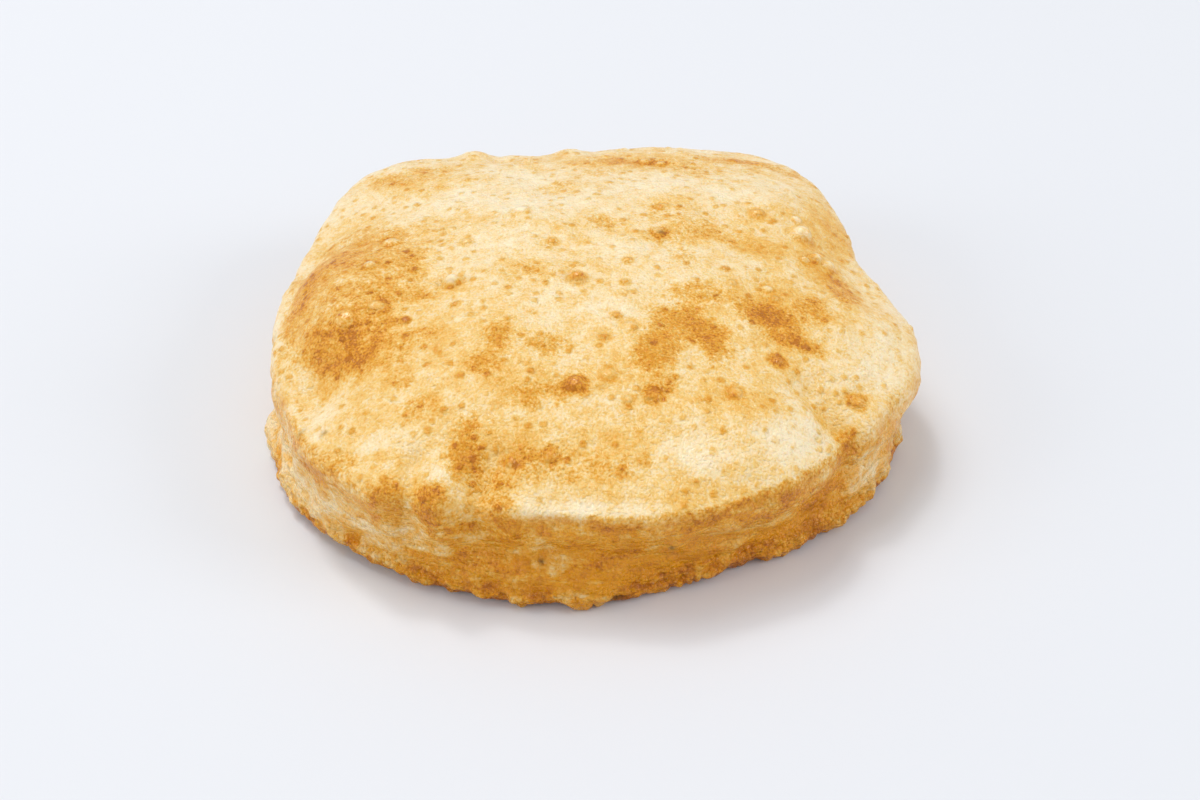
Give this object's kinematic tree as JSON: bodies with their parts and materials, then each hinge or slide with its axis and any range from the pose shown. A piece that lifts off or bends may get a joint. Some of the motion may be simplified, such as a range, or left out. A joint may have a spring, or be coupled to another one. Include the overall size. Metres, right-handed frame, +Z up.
{
  "type": "bhatura",
  "caption": "Round puffed deep-fried wheat bread, golden with browned patches and small blisters, flat underneath to rest on a plate.",
  "frame": {"origin": "centre of the bread's box at the height of the surface it rests on", "axes": "+Z up from the flat spot to the domed top, +X along its widest way, -Y towards its sharp front rim"},
  "size_m": [0.2258, 0.2162, 0.0612],
  "materials": {
    "fried_crust": "golden, oily, softly glossy fried crust"
  },
  "bodies": {
    "root": {"bhatura": "fried_crust"}
  },
  "joints": []
}
